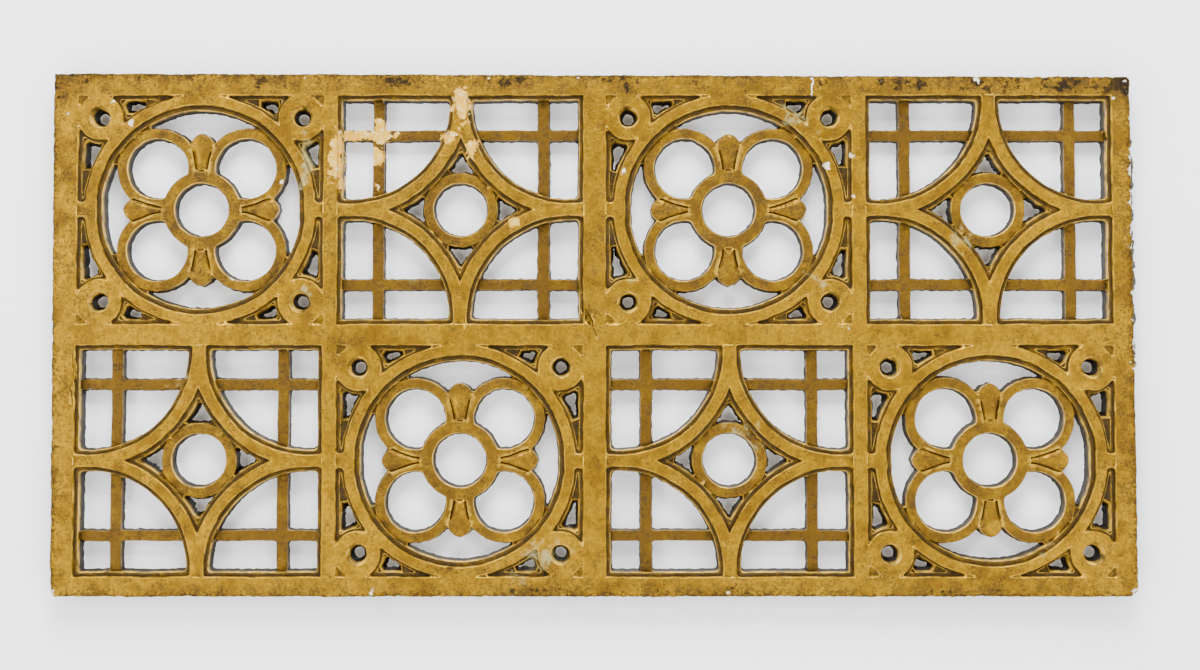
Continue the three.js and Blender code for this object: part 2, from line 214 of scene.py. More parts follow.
def through(f, x, z):
    """Signed distance to the casting's outline at its back: the union of the orders, each let out by its
    wall's slope and the crust left in small gaps, less the boss holes, and cut by the rim."""
    ragged = 1.0 * wander(x, z, 9, 41) + 0.6 * wander(x, z, 4, 42)
    crust = f["star_gap"] * (1.3 + ragged)
    packed = f["spandrel"] * (2.2 + 0.7 * ragged) + crust
    solid = blended(f["shoulder"] - SHOULDER_BACK - packed, f["lattice"] - LATTICE_BACK, 2.6)
    solid = blended(solid, f["tracery"] - TRACERY_BACK - 0.6 * crust, 2.5)
    rim = f["edge"] - 0.5 - lip_reach(x, z)
    return np.maximum.reduce([solid, f["boss_hole"], rim])


def level_line(field, level, xs, zs):
    """Closed level lines of a gridded field by marching squares: each grid cell that the line crosses gives
    one directed step from grid edge to grid edge, and the steps are ranked round their loops by pointer
    doubling. Returns points in loop order, and each loop's start and length."""
    f = field - level
    f = np.where(np.abs(f) < 1e-6, 1e-6, f)
    nx, nz = f.shape
    inside = f < 0
    code = inside[:-1, :-1] + 2 * inside[1:, :-1] + 4 * inside[1:, 1:] + 8 * inside[:-1, 1:]
    steps = {1: [(0, 3)], 2: [(1, 0)], 3: [(1, 3)], 4: [(2, 1)], 5: [(0, 3), (2, 1)], 6: [(2, 0)], 7: [(2, 3)],
             8: [(3, 2)], 9: [(0, 2)], 10: [(1, 0), (3, 2)], 11: [(1, 2)], 12: [(3, 1)], 13: [(0, 1)], 14: [(3, 0)]}
    count = nx * nz

    def edge_id(i, j, side):
        if side == 0:
            return i * nz + j
        if side == 2:
            return i * nz + j + 1
        return count + (i + (side == 1)) * nz + j

    start, end = [], []
    for value, pairs in steps.items():
        i, j = np.nonzero(code == value)
        for a, b in pairs:
            start.append(edge_id(i, j, a))
            end.append(edge_id(i, j, b))
    start, end = np.concatenate(start), np.concatenate(end)
    order = np.argsort(start)
    start, end = start[order], end[order]
    following = np.searchsorted(start, end)
    rest = start % count
    i, j = rest // nz, rest % nz
    across = start < count
    i2, j2 = np.where(across, i + 1, i), np.where(across, j, j + 1)
    a, b = f[i, j], f[i2, j2]
    t = a / (a - b)
    points = np.stack([xs[i] + (xs[i2] - xs[i]) * t, zs[j] + (zs[j2] - zs[j]) * t], 1)

    n = len(start)
    first, hop = np.arange(n), following.copy()
    doublings = int(math.ceil(math.log2(n))) + 1
    for _ in range(doublings):
        first = np.minimum(first, first[hop])
        hop = hop[hop]
    head = first == np.arange(n)
    distance, hop = np.where(head, 0, 1), np.where(head, np.arange(n), following)
    for _ in range(doublings):
        distance = distance + distance[hop]
        hop = hop[hop]
    length = np.bincount(first, minlength=n)[first]
    rank = (length - distance) % length
    order = np.lexsort((rank, first))
    heads = np.nonzero(head)[0]
    lengths = length[heads]
    return points[order], np.concatenate([[0], np.cumsum(lengths)[:-1]]), lengths


def resampled(points, starts, lengths, coarsest=LINE_STEP_MAX):
    """Even points along closed loops, closer where the line bends: the step is the chord whose sagitta is
    LINE_ERROR."""
    keep = lengths >= 8
    loop = np.repeat(np.arange(len(starts)), lengths)
    rank = np.arange(len(points)) - starts[loop]
    span = np.minimum(4, lengths[loop] // 3)
    back = points[starts[loop] + (rank - span) % lengths[loop]]
    ahead = points[starts[loop] + (rank + span) % lengths[loop]]
    d1, d2 = points - back, ahead - points
    turn = np.abs(np.arctan2(d1[:, 0] * d2[:, 1] - d1[:, 1] * d2[:, 0], (d1 * d2).sum(1)))
    bend = turn / (0.5 * (np.hypot(*d1.T) + np.hypot(*d2.T)) + 1e-9)
    step = np.clip(np.sqrt(8 * LINE_ERROR / (bend + 1e-6)), LINE_STEP_MIN, coarsest)
    size = lengths + 1
    loop_e = np.repeat(np.arange(len(starts)), size)
    rank_e = np.arange(size.sum()) - np.repeat(np.cumsum(size) - size, size)
    index = starts[loop_e] + rank_e % lengths[loop_e]
    p, s = points[index], step[index]
    gap = np.hypot(*np.diff(p, axis=0).T) / (0.5 * (s[1:] + s[:-1]))
    gap[loop_e[1:] != loop_e[:-1]] = 1.0
    along = np.concatenate([[0], np.cumsum(gap)])
    base = along[np.cumsum(size) - size]
    total = along[np.cumsum(size) - 1] - base
    number = np.where(keep & (total > 2.5), np.maximum(4, np.round(total)), 0).astype(int)
    loop_s = np.repeat(np.arange(len(starts)), number)
    first = np.cumsum(number) - number
    share = (np.arange(number.sum()) - first[loop_s]) / np.maximum(number[loop_s], 1)
    where = base[loop_s] + share * total[loop_s]
    x = np.interp(where, along, p[:, 0])
    z = np.interp(where, along, p[:, 1])
    following = first[loop_s] + (np.arange(number.sum()) - first[loop_s] + 1) % number[loop_s]
    return np.stack([x, z], 1), following


class Skin:
    """Points, the edges that the triangulation keeps, and each point's height and kind."""

    def __init__(self, grid):
        self.grid, self.size = grid, 0
        self.points, self.height, self.tag, self.edges = [], [], [], []

    def line(self, field, level, height, tag, mask=None, **steps):
        """Adds a field's level line at one height, and the edges along it, where the mask holds."""
        points, following = resampled(*level_line(field, level, *self.grid), **steps)
        kept = np.ones(len(points), bool) if mask is None else mask(points[:, 0], points[:, 1])
        edges = np.stack([np.arange(len(points)), following], 1)
        edges = edges[kept[edges].all(1)]
        number = np.cumsum(kept) - 1
        self.add(points[kept], height, tag, number[edges])

    def add(self, points, height, tag, edges=None):
        self.points.append(points)
        self.height.append(np.broadcast_to(height, len(points)).astype(float))
        self.tag.append(np.full(len(points), tag))
        if edges is not None and len(edges):
            self.edges.append(edges + self.size)
        self.size += len(points)

    def arrays(self):
        return (np.concatenate(self.points), np.concatenate(self.height),
                np.concatenate(self.tag), np.concatenate(self.edges))


# What a point of the skin is, for the finish: on a flat, a rounded start, an arris, a foot, the back
FLAT, SOFT, ARRIS, FOOT, REAR = 0, 1, 2, 3, 4


def triangulated(points, edges):
    """Constrained triangles of plane points. New points where kept edges cross come last."""
    out_points, out_edges, faces, origin, *_ = delaunay_2d_cdt(points.tolist(), edges.tolist(), [], 0, 1e-4)
    source = np.array([o[0] if o else -1 for o in origin])
    where = np.array([(p[0], p[1]) for p in out_points])
    return where, np.array(faces), source


def parted(triangles, fence):
    """Labels triangles by the region that they lie in, between fence edges, by spreading the least label
    over shared edges."""
    n = len(triangles)
    pairs = np.sort(np.concatenate([triangles[:, [0, 1]], triangles[:, [1, 2]], triangles[:, [2, 0]]]), 1)
    owner = np.tile(np.arange(n), 3)
    wide = int(triangles.max()) + 2
    key = pairs[:, 0] * wide + pairs[:, 1]
    fence = np.sort(fence, 1)
    blocked = np.isin(key, fence[:, 0] * wide + fence[:, 1])
    key, owner = key[~blocked], owner[~blocked]
    order = np.argsort(key, kind="stable")
    key, owner = key[order], owner[order]
    same = key[1:] == key[:-1]
    a, b = owner[:-1][same], owner[1:][same]
    label = np.arange(n)
    while True:
        low = np.minimum(label[a], label[b])
        new = label.copy()
        np.minimum.at(new, label[a], low)
        np.minimum.at(new, label[b], low)
        np.minimum.at(new, a, low)
        np.minimum.at(new, b, low)
        new = new[new]
        if (new == label).all():
            return label
        label = new


def solid_triangles(where, triangles, fence, depth):
    """The triangles of the casting's own region, the one between fence edges with the most area inside the
    outline, and their signed areas."""
    a, b, c = (where[triangles[:, k]] for k in range(3))
    area = 0.5 * ((b[:, 0] - a[:, 0]) * (c[:, 1] - a[:, 1]) - (b[:, 1] - a[:, 1]) * (c[:, 0] - a[:, 0]))
    region = parted(triangles, fence)
    middle = where[triangles].mean(1)
    total = np.bincount(region, np.abs(area) * np.clip(depth(*middle.T), -3, 3), len(triangles))
    solid = region == total.argmin()
    return triangles[solid], area[solid]


def sampler(grid):
    """Bilinear reading of a gridded field at any point."""
    xs, zs = grid

    def read(field, x, z):
        i = np.clip((x - xs[0]) / GRID_STEP, 0, len(xs) - 1.001)
        j = np.clip((z - zs[0]) / GRID_STEP, 0, len(zs) - 1.001)
        i0, j0 = i.astype(int), j.astype(int)
        a, b = i - i0, j - j0
        return ((field[i0, j0] * (1 - a) + field[i0 + 1, j0] * a) * (1 - b)
                + (field[i0, j0 + 1] * (1 - a) + field[i0 + 1, j0 + 1] * a) * b)
    return read


def top_height(f):
    """Height of the flats at points: the highest order that the point lies in, the buds domed."""
    h = np.where(f["lattice"] < 0.4, LATTICE, 0.0)
    h = np.where(f["tracery"] < 0.4, TRACERY, h)
    h = np.where(f["shoulder"] < 0.4, SHOULDER, h)
    return np.where(f["face_raw"] < 0.4, FACE, h)


# Places of lost plaster, as x, z, radius, depth, and how white the break is
CHIPS = np.array([
    (-526, 240, 3.4, 1.6, 1), (-408, 64.5, 4.2, 1.8, 0.9), (-356, 173, 2.6, 1.2, 0.9),
    (34, 187, 2.8, 1.3, 0.95), (262, 191, 3.8, 1.4, 1), (290, 202.5, 2.8, 1.2, 0.9),
    (293, 156, 2, 1, 0.8), (-19, 292, 3, 1.6, 0.6), (-11.5, 26.5, 3.2, 1.1, 0.2),
    (-8, 20.5, 4.2, 1.5, 0.1), (-4, 13.5, 3.6, 1.2, 0.15), (270, 9, 1.6, 0.4, 0.75),
    (279, 8, 1.3, 0.4, 0.7), (286, 6.5, 1.8, 0.4, 0.75), (-571, -38, 2.4, 1, 0.7),
    (601, 287, 4, 2, 0.3), (-607, -289, 5, 2, 0.5), (604, -288, 5, 2.2, 0.4),
    (-568, -22, 2, 1.2, 0.6), (-571, -62, 2.2, 1, 0.6), (150, -289, 2.6, 1.5, 0.6),
    (-250, -289.5, 2.4, 1.4, 0.6), (433, 290, 3.2, 1.6, 0.6), (-330, 291, 2.6, 1.4, 0.6),
    (-120, 291.5, 2.4, 1.2, 0.6), (245, 291, 2.2, 1, 0.9), (-544, 265, 1.6, 0.4, 0.7),
    (-597, 250, 2, 0.4, 0.5), (-500, 200, 1.6, 0.5, 0.6), (588, 268, 2.4, 0.9, 0.8),
])


# Leaf-shaped gouges, as x and z of both ends, half width and depth
GOUGES = np.array([
    (-14, 29.5, -1.5, 8.5, 4.2, 2.2), (-19, 55, -16.5, 46, 1.6, 1.4), (-0.5, 5, 6.5, -6.5, 1.1, 0.7),
    (-588, -20, -585.5, -52, 1.5, 1.3), (-590, -58, -586, -82, 1.4, 1),
])


def gouged(x, z):
    """How deep each point lies in a gouge, and its distance in half widths from the gouge's middle line."""
    deepest, nearest = np.zeros(len(x)), np.full(len(x), 9.0)
    for x0, z0, x1, z1, half, depth in GOUGES:
        length = math.hypot(x1 - x0, z1 - z0)
        along = ((x - x0) * (x1 - x0) + (z - z0) * (z1 - z0)) / length ** 2
        aside = ((x - x0) * (z1 - z0) - (z - z0) * (x1 - x0)) / length
        width = half * np.sqrt(np.clip(1 - (2 * along - 1) ** 2, 0.0004, 1))
        away = np.abs(aside) / width * (1 + 0.2 * wander(x, z, 6, 14))
        away = np.where((along > 0) & (along < 1), away, 9.0)
        deepest = np.maximum(deepest, depth * np.clip(1.05 - away, 0, 1) ** 0.6)
        nearest = np.minimum(nearest, away)
    return deepest, nearest


# Places where the paint has flaked to a cream ground, as x, z, half length, half height and strength
FLAKES = np.array([
    (-151, 260, 9, 20, 1.1), (-166, 222, 8, 9, 0.9), (-139, 214, 8, 11, 0.9),
    (-241, 231, 9, 12, 1.2), (-227, 227, 9, 5, 0.8), (-272, 227, 13, 6, 1.1),
    (-247, 203, 6.5, 10, 1.1), (-247, 170, 6, 9, 0.55), (-293, 205, 7, 26, 1.15),
    (-287, 170, 5, 14, 0.7), (-92, 126, 12, 7, 0.8), (-212, 155, 7, 4, 0.6),
    (-145, 195, 4, 6, 0.7), (-243, 118, 6, 4, 0.5),
])
# Dark soot, grown along the top bar, and dark stains, as x, z, half length, half height and strength
SOOT = np.array([
    (-585, 291, 45, 9, 1), (-606, 281, 12, 16, 0.9), (-470, 292, 90, 5, 0.8),
    (-370, 288, 30, 9, 0.95), (-220, 288, 44, 10, 1), (-95, 287, 52, 9, 0.95),
    (37, 284, 5, 15, 1.1), (20, 291, 40, 6, 0.8), (150, 292, 90, 4, 0.7),
    (275, 284, 26, 10, 0.8), (350, 285, 34, 14, 1), (440, 284, 60, 12, 1),
    (540, 283, 60, 13, 1.05), (598, 282, 18, 20, 1.3), (600, 250, 9, 30, 0.55),
    (605, 60, 6, 150, 0.6), (-606, 120, 5, 130, 0.5), (-608, -120, 5, 150, 0.6),
    (602, -160, 8, 110, 0.5), (-60, -286, 60, 7, 0.9), (120, -287, 150, 6, 0.75),
    (430, -286, 150, 6, 0.75), (-400, -288, 150, 4.5, 0.7), (-5, 30, 16, 24, 0.45),
    (-152, -262, 60, 9, 0.6), (590, -20, 26, 320, 0.42), (200, -283, 460, 18, 0.42),
    (-594, 60, 20, 220, 0.36), (0, 283, 640, 13, 0.5), (-300, 120, 30, 120, 0.3),
    (2, 60, 20, 60, 0.36), (318, 236, 20, 40, 0.36), (180, 262, 60, 12, 0.42),
    (-446, 141, 74, 70, 0.4), (152, 141, 74, 70, 0.42), (-152, 150, 90, 80, 0.34),
    (-446, -141, 60, 50, 0.24), (152, -141, 60, 50, 0.2),
])
# Green bloom of the bronze paint, as x, z, half length, half height and strength
BLOOM = np.array([
    (-327, 200, 9, 30, 1), (-333, 172, 8, 22, 0.8), (224, 249, 24, 10, 0.9),
    (243, 236, 12, 10, 0.8), (-58, -250, 26, 20, 0.9), (-90, -272, 22, 8, 0.7),
    (412, 105, 18, 22, 0.7), (398, 86, 14, 18, 0.6), (165, -120, 26, 30, 0.7),
    (-325, 50, 12, 14, 0.8), (250, 60, 20, 12, 0.6), (-470, -60, 26, 20, 0.45),
    (-210, 60, 20, 26, 0.35), (520, -240, 30, 20, 0.5), (40, 70, 12, 30, 0.4),
])


def patched(x, z, places):
    """How strongly oval places mark each point: one at the middle, a half at the rim, nothing at twice
    the size."""
    total = np.zeros(len(x))
    for cx, cz, half_x, half_z, strength in places:
        away = np.hypot((x - cx) / half_x, (z - cz) / half_z)
        total = np.maximum(total, strength * np.clip(1 - away / 2, 0, 1))
    return total


def grille():
    """Builds the relief: level lines of every order, scattered points on the flats, one constrained
    triangulation, heights, then the hand-made unevenness, the chips, and a flat back on the same outline."""
    xs = np.arange(-626, 627, GRID_STEP)
    zs = np.arange(-306, 311, GRID_STEP)
    grid = (xs, zs)
    gx, gz = np.meshgrid(xs, zs, indexing="ij")
    f = fields(gx, gz)
    back = through(f, gx, gz)
    read = sampler(grid)

    def clear_of_shoulder(x, z):
        return (read(f["shoulder"], x, z) > SHOULDER_FOOT + 0.35) & (read(back, x, z) < -0.2)

    def over(name, past):
        return lambda x, z: (read(f[name], x, z) < past) & (read(f["edge"], x, z) < -2)

    def over_tracery(x, z):
        return (read(f["tracery"], x, z) < -1.2) & (read(f["shoulder"], x, z) > 1.0)

    def clear_of_star(x, z):
        return read(f["shoulder"], x, z) > SHOULDER_LATTICE_FOOT + 0.35

    lip = lip_reach(gx, gz)
    lines = Skin(grid)
    lines.line(f["face"], -0.75, FACE, SOFT)
    lines.line(f["face"], -0.05, FACE - 0.4, ARRIS)
    lines.line(f["face_raw"], FACE_FOOT, SHOULDER, FOOT, over("shoulder", 0.3))
    lines.line(f["opening"], -0.8, FACE, SOFT, over("face_raw", -1.3))
    lines.line(f["opening"], 0.0, FACE, ARRIS, over("face_raw", -1.3))
    lines.line(f["opening"], 0.9, FACE, FOOT, over("face_raw", -1.3))
    lines.line(f["shoulder"], -0.7, SHOULDER, SOFT)
    lines.line(f["shoulder"], -0.05, SHOULDER - 0.4, ARRIS)
    lines.line(f["shoulder"], SHOULDER_FOOT, TRACERY, FOOT, over("tracery", -0.5))
    lines.line(f["shoulder"], SHOULDER_LATTICE_FOOT, LATTICE, FOOT, over("lattice", -0.3))
    lines.line(f["tracery"], -0.85, TRACERY, SOFT, clear_of_shoulder)
    lines.line(f["tracery"], -0.05, TRACERY - 0.5, ARRIS, clear_of_shoulder)
    lines.line(f["buds"], 1.15, TRACERY, SOFT, over_tracery, coarsest=3.0)
    lines.line(f["buds"], 0.1, TRACERY - 2.2, FOOT, over_tracery, coarsest=3.0)
    lines.line(f["buds"], -1.1, TRACERY - 0.6, FLAT, over_tracery, coarsest=3.0)
    lines.line(f["lattice"], -0.75, LATTICE, SOFT, clear_of_star)
    lines.line(f["lattice"], -0.05, LATTICE - 0.45, ARRIS, clear_of_star)
    lines.line(np.maximum(f["edge"] - 0.15, 0.9 - lip), 0, LIP_HEIGHT, FLAT,
               lambda x, z: (np.abs(read(f["edge"], x, z) - 0.15) < 0.12))
    lines.line(f["edge"] - np.maximum(lip - 0.8, 0), 0, LIP_HEIGHT - 2.5, FLAT,
               lambda x, z: read(f["edge"], x, z) > 0.9)
    fence_from = lines.size
    lines.line(back, 0.0, 0.0, REAR, coarsest=3.0)
    fence_to = lines.size

    # scattered points: wide on the flats, close on the buds and in the chips
    rng = np.random.default_rng(7)

    def scattered(spacing, box=None):
        x0, x1, z0, z1 = box or (xs[5], xs[-5], zs[5], zs[-5])
        px, pz = np.meshgrid(np.arange(x0, x1, spacing), np.arange(z0, z1, spacing * 0.866), indexing="ij")
        px = px + (np.arange(px.shape[1]) % 2) * spacing / 2
        px = px + rng.uniform(-0.22, 0.22, px.shape) * spacing
        pz = pz + rng.uniform(-0.22, 0.22, pz.shape) * spacing
        return px.ravel(), pz.ravel()

    def room(x, z):
        levels = (("face", -0.75), ("face", -0.05), ("face_raw", FACE_FOOT), ("shoulder", -0.7), ("shoulder", -0.05),
                  ("tracery", -0.85), ("tracery", -0.05), ("lattice", -0.75), ("lattice", -0.05))
        gaps = [np.abs(read(f[name], x, z) - level) for name, level in levels]
        gaps += [np.abs(read(f["shoulder"], x, z) - SHOULDER_FOOT), np.abs(read(back, x, z))]
        return np.minimum.reduce(gaps)

    def add_flat(x, z, gap):
        keep = (room(x, z) > gap) & (read(back, x, z) < -gap - 1.6)
        lines.add(np.stack([x[keep], z[keep]], 1), -1.0, FLAT)

    add_flat(*scattered(8.5), 2.2)
    x, z = scattered(2.1)
    on_bud = read(f["buds"], x, z) < -2.2
    add_flat(x[on_bud], z[on_bud], 0.9)
    for cx, cz, radius, depth, _ in CHIPS:
        x, z = scattered(1.3, (cx - radius - 1.5, cx + radius + 1.5, cz - radius - 1.5, cz + radius + 1.5))
        near = np.hypot(x - cx, z - cz) < radius + 1
        add_flat(x[near], z[near], 0.45)

    for x0, z0, x1, z1, half, _ in GOUGES:
        x, z = scattered(1.15, (min(x0, x1) - 5, max(x0, x1) + 5, min(z0, z1) - 5, max(z0, z1) + 5))
        near = gouged(x, z)[1] < 1.9
        add_flat(x[near], z[near], 0.4)
    for cx, cz, half_x, half_z, _ in FLAKES:
        x, z = scattered(3.4, (cx - 2 * half_x, cx + 2 * half_x, cz - 2 * half_z, cz + 2 * half_z))
        add_flat(x, z, 1.1)

    points, height, tag, edges = lines.arrays()
    where, triangles, source = triangulated(points, edges)
    new = source < 0
    x, z = where.T
    g = fields(x, z)
    h = np.where(new, -1.0, height[np.clip(source, 0, None)])
    kind = np.where(new, FLAT, tag[np.clip(source, 0, None)])
    h = np.where(h < 0, top_height(g), h)

    # keep what lies inside the casting's own outline
    rear = np.zeros(len(where), bool)
    rear[~new] = (source[~new] >= fence_from) & (source[~new] < fence_to)
    number = np.full(len(points), -1)
    number[source[~new]] = np.nonzero(~new)[0]
    fence = number[edges[(edges >= fence_from).all(1) & (edges < fence_to).all(1)]]
    front, area = solid_triangles(where, triangles, fence, lambda x, z: read(back, x, z))
    front[area < 0] = front[area < 0][:, ::-1]

    # slivers with all three corners on the back's outline would be flaps without thickness, so they go
    while True:
        sides = np.sort(np.stack([front, np.roll(front, -1, 1)], 2), 2) @ np.array([len(where) + 1, 1])
        _, index, times = np.unique(sides, return_inverse=True, return_counts=True)
        flap = rear[front].all(1) & (times[index.reshape(front.shape)] == 1).any(1)
        if not flap.any():
            break
        front = front[~flap]

    # the buds swell up from the groove round them
    inside = np.clip(-g["buds"] / 9.0, 0, 1)
    on_bud = (g["buds"] < -0.6) & (g["tracery"] < -0.4) & (h > LATTICE) & (h <= TRACERY)
    h = h + np.where(on_bud, 2.6 * np.sqrt(inside * (2 - inside)) - (kind == FLAT) * 0.5, 0)

    # the outer corner beside each boss is only a shallow notch
    h = np.where((g["notch"] > 0) & (np.abs(h - SHOULDER) < 0.3) & (g["shoulder"] < -0.3), NOTCH, h)

    # the frame stands a little above the ornament that joins it
    h = h - (h > SHOULDER + 1) * FRAME_STEP * np.clip(g["opening"] / 0.9, 0, 1)

    # hand-made unevenness, in the plane and in height
    lift = h / FACE
    rag = np.exp(-np.abs(g["edge"]) / 7)
    flash = 0.34 * (h < 1)
    shake = 0.07 + 0.36 * rag + flash
    dx = 0.34 * wander(x, z, 60, 1) + 0.16 * wander(x, z, 17, 2) + shake * wander(x, z, 7, 3)
    dz = 0.34 * wander(x, z, 60, 4) + 0.16 * wander(x, z, 17, 5) + shake * wander(x, z, 7, 6)
    dh = lift * (0.24 * wander(x, z, 85, 7) + 0.1 * wander(x, z, 24, 8) + 0.06 * wander(x, z, 9, 9) - 0.3)
    chipped = np.zeros(len(x))
    for cx, cz, radius, depth, white in CHIPS:
        away = np.hypot(x - cx, z - cz) / radius * (1 + 0.25 * wander(x, z, 5, 10))
        bowl = np.clip(1.25 - away, 0, 1)
        bowl = bowl * bowl * (3 - 2 * bowl)
        dh = dh - depth * bowl * lift
        chipped = np.maximum(chipped, white * np.clip(1.55 - away, 0, 1))
    gouge, beside = gouged(x, z)
    dh = dh - gouge * lift + 0.3 * np.exp(-((beside - 1.25) / 0.2) ** 2) * lift
    y = -np.clip(h + dh, 0, None)
    y[rear] = 0
    x, z = x + dx, z + dz

    # the back: the same outline, its own few inner points, laid flat
    all_edges = np.concatenate([front[:, [0, 1]], front[:, [1, 2]], front[:, [2, 0]]])
    key = np.sort(all_edges, 1) @ np.array([len(where) + 1, 1])
    _, index, times = np.unique(key, return_index=True, return_counts=True)
    rim = all_edges[index[times == 1]]
    rim_points = np.unique(rim)
    bx, bz = scattered(13.0)
    keep = read(back, bx, bz) < -3.0
    bx, bz = bx[keep], bz[keep]
    old_of = np.concatenate([rim_points, -np.ones(len(bx), int)])
    back_points = np.concatenate([where[rim_points], np.stack([bx, bz], 1)])
    back_edges = np.searchsorted(rim_points, rim)
    back_where, back_faces, back_source = triangulated(back_points, back_edges)
    bx, bz = back_where.T
    number = np.full(len(back_points), -1)
    number[back_source[back_source >= 0]] = np.nonzero(back_source >= 0)[0]
    rear_faces, area = solid_triangles(back_where, back_faces, number[back_edges], lambda x, z: read(back, x, z))
    rear_faces[area > 0] = rear_faces[area > 0][:, ::-1]
    to_all = np.where(back_source >= 0, old_of[np.clip(back_source, 0, None)], -1)
    fresh = to_all < 0
    to_all[fresh] = len(where) + np.arange(fresh.sum())
    fx, fz = bx[fresh], bz[fresh]
    fy = -0.35 - 0.3 * wander(fx, fz, 20, 12)

    # one mesh, unused points dropped
    co = np.concatenate([np.stack([x, y, z], 1), np.stack([fx, np.minimum(fy, 0), fz], 1)]) / 1000.0
    faces = np.concatenate([front, to_all[rear_faces]])
    used = np.unique(faces)
    renumber = np.full(len(co), -1)
    renumber[used] = np.arange(len(used))
    extra = fresh.sum()

    def padded(values, fill):
        return np.concatenate([values, np.full(extra, fill)])[used]

    depth_of = np.clip((FACE - h) / (FACE - LATTICE), 0, 1)
    # the boss holes' front edges take part of the walls' darkening: painted shade in the holes
    in_hole = (kind == ARRIS) & (np.abs(g["boss"] - BOSS_HOLE_FRONT) < 0.6)
    worn_edge = 0.52 * np.exp(-(g["edge"] / 1.5) ** 2) * (x > 598) * np.clip((z + 75) / 30, 0, 1)
    worn_edge = worn_edge * (g["edge"] < 0.1)
    worn_edge = np.maximum(worn_edge, 0.5 * np.exp(-(g["edge"] / 1.2) ** 2) * (x > 480) * (z > 270))
    # arris: where the rubbed gold and its painted highlight go, on the arrises, less in the notches, on the bud
    # outlines and the gouges' rims
    on_bud_line = (np.abs(g["buds"] - 1.15) < 0.3) & (h < SHOULDER - 1)
    arris = (kind == ARRIS) * np.where(h > SHOULDER + 1, 1.0, 0.7) * (1 - 0.55 * g["notch"]) + on_bud_line * 0.5
    values = {
        "arris": padded(np.maximum(arris, 0.9 * np.exp(-((beside - 1.15) / 0.2) ** 2)), 0.0),
        "foot": padded(np.maximum((kind == FOOT) * 1.0, 1.0 * (gouge > 0.3)), 0.0),
        "ledge": padded((np.abs(h - SHOULDER) < 1.0) * 1.0, 0.0),
        "wall": padded((kind == REAR) + in_hole * 0.65, 1.0),
        "lip": padded(np.clip(g["edge"] - 0.3, 0, 1) * (x > 590), 1.0),
        "sunk": padded(depth_of, 1.0),
        "chip": padded(np.maximum(chipped, worn_edge), 0.0),
        "rim": padded(np.exp(-np.abs(g["edge"]) / 5), 0.0),
        "flake": padded(patched(x, z, FLAKES), 0.0),
        "soot": padded(patched(x, z, SOOT), 0.0),
        "bloom": padded(patched(x, z, BLOOM), 0.0),
    }
    wedge = np.zeros(len(faces))
    wedge[:len(front)] = (kind[front] == ARRIS).all(1)
    return co[used], renumber[faces], values, wedge, len(front)


def mesh_piece(name, co, faces, values, wedge):
    """One mesh object from arrays, smooth, with a value for each point under each name, and the wedge
    value of each face."""
    mesh = bpy.data.meshes.new(name)
    mesh.vertices.add(len(co))
    mesh.vertices.foreach_set("co", co.astype(np.float32).ravel())
    mesh.loops.add(faces.size)
    mesh.loops.foreach_set("vertex_index", faces.astype(np.int32).ravel())
    mesh.polygons.add(len(faces))
    mesh.polygons.foreach_set("loop_start", np.arange(len(faces), dtype=np.int32) * 3)
    mesh.polygons.foreach_set("loop_total", np.full(len(faces), 3, np.int32))
    mesh.update(calc_edges=True)
    for key, value in values.items():
        layer = mesh.attributes.new(key, "FLOAT", "POINT")
        layer.data.foreach_set("value", value.astype(np.float32))
    layer = mesh.attributes.new("wedge", "FLOAT", "FACE")
    layer.data.foreach_set("value", wedge.astype(np.float32))
    mesh.polygons.foreach_set("use_smooth", np.ones(len(faces), bool))
    mesh.set_sharp_from_angle(angle=math.radians(52))
    piece = bpy.data.objects.new(name, mesh)
    SCENE.collection.objects.link(piece)
    shading = piece.modifiers.new("even_shading", "WEIGHTED_NORMAL")
    shading.keep_sharp = True
    return piece


co, faces, values, wedge, front_size = grille()
casting = mesh_piece("gilded_grille", co, faces, values, wedge)
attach(casting, "root")
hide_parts("grille_casting")


def plain(name, colour, roughness):
    """A material of one colour and roughness, to build on."""
    made = bpy.data.materials.new(name)
    made.use_nodes = True
    shader = made.node_tree.nodes["Principled BSDF"]
    shader.inputs["Base Color"].default_value = (*colour, 1)
    shader.inputs["Roughness"].default_value = roughness
    return made


class Nodes:
    """Short names for the nodes of one tree. A number, colour or socket may be given for any input."""

    def __init__(self, tree):
        self.tree = tree

    def node(self, kind, given=None, **settings):
        made = self.tree.nodes.new("ShaderNode" + kind)
        for key, value in settings.items():
            setattr(made, key, value)
        for key, source in (given or {}).items():
            self.join(source, made.inputs[key])
        return made

    def join(self, source, target):
        if hasattr(source, "is_output"):
            self.tree.links.new(source, target)
        elif isinstance(source, tuple):
            target.default_value = (*source, 1)
        else:
            target.default_value = source

    def calc(self, operation, a, b=0.0):
        return self.node("Math", {0: a, 1: b}, operation=operation).outputs[0]

    def times(self, a, b):
        return self.calc("MULTIPLY", a, b)

    def plus(self, a, b):
        return self.calc("ADD", a, b)

    def minus(self, a, b):
        return self.calc("SUBTRACT", a, b)

    def most(self, a, b):
        return self.calc("MAXIMUM", a, b)

    def fit(self, value, low, high, to_low=0.0, to_high=1.0, smooth=False):
        """The value carried from low and high to to_low and to_high, and held between them."""
        ends = dict(enumerate((value, low, high, to_low, to_high)))
        way = "SMOOTHSTEP" if smooth else "LINEAR"
        return self.node("MapRange", ends, clamp=True, interpolation_type=way).outputs[0]

    def span(self, mask, at_zero, at_one):
        return self.fit(mask, 0.0, 1.0, at_zero, at_one)

    def blend(self, share, a, b):
        """Colour a, with that share of b laid over it."""
        return self.node("Mix", {0: share, 6: a, 7: b}, data_type="RGBA").outputs[2]

    def noise(self, place, size, detail=3.0, rough=0.55):
        """Noise whose features are about size metres across."""
        given = {"Vector": place, "Scale": 1 / size, "Detail": detail, "Roughness": rough}
        return self.node("TexNoise", given).outputs["Fac"]

    def value(self, name):
        return self.node("Attribute", attribute_name=name).outputs["Fac"]

    def bump(self, height, strength, distance):
        given = {"Strength": strength, "Distance": distance, "Height": height}
        return self.node("Bump", given).outputs["Normal"]


